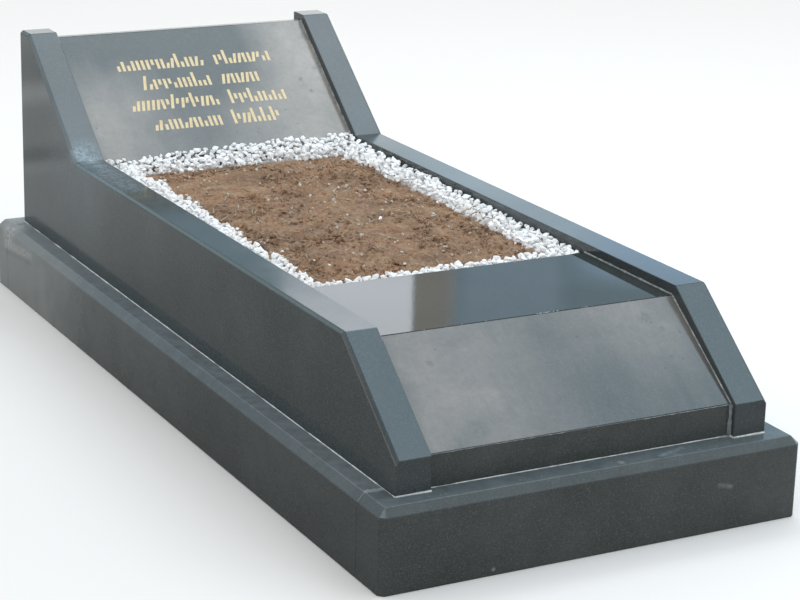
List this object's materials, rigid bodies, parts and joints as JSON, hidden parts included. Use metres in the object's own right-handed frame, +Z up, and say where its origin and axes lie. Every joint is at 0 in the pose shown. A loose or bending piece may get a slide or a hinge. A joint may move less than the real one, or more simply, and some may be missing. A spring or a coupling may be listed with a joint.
{
  "type": "kerbed memorial",
  "caption": "Kerbed memorial of polished dark granite: plinth kerb, shaped side walls, inclined head tablet, sloping foot slab, soil bed with a white stone border.",
  "frame": {"origin": "on the ground, at the middle of the plinth's length and width", "axes": "+Y along the memorial from the foot to the head, +Z up, +X to the right seen from the foot"},
  "size_m": [0.888, 2.026, 0.627],
  "materials": {
    "polished_granite": "polished",
    "sawn_granite": "satin",
    "soil": "matte",
    "white_chippings": "matte"
  },
  "bodies": {
    "root": {"plinth_foot_bar": "polished_granite", "plinth_head_bar": "polished_granite", "plinth_left_bar": "polished_granite", "plinth_right_bar": "polished_granite", "left_side_wall": "polished_granite", "right_side_wall": "polished_granite", "head_tablet": "polished_granite", "rear_slab": "sawn_granite", "foot_riser": "polished_granite", "foot_sloping_slab": "polished_granite", "foot_top_slab": "polished_granite", "soil_bed": "soil", "pebble_border": "white_chippings"}
  },
  "joints": []
}
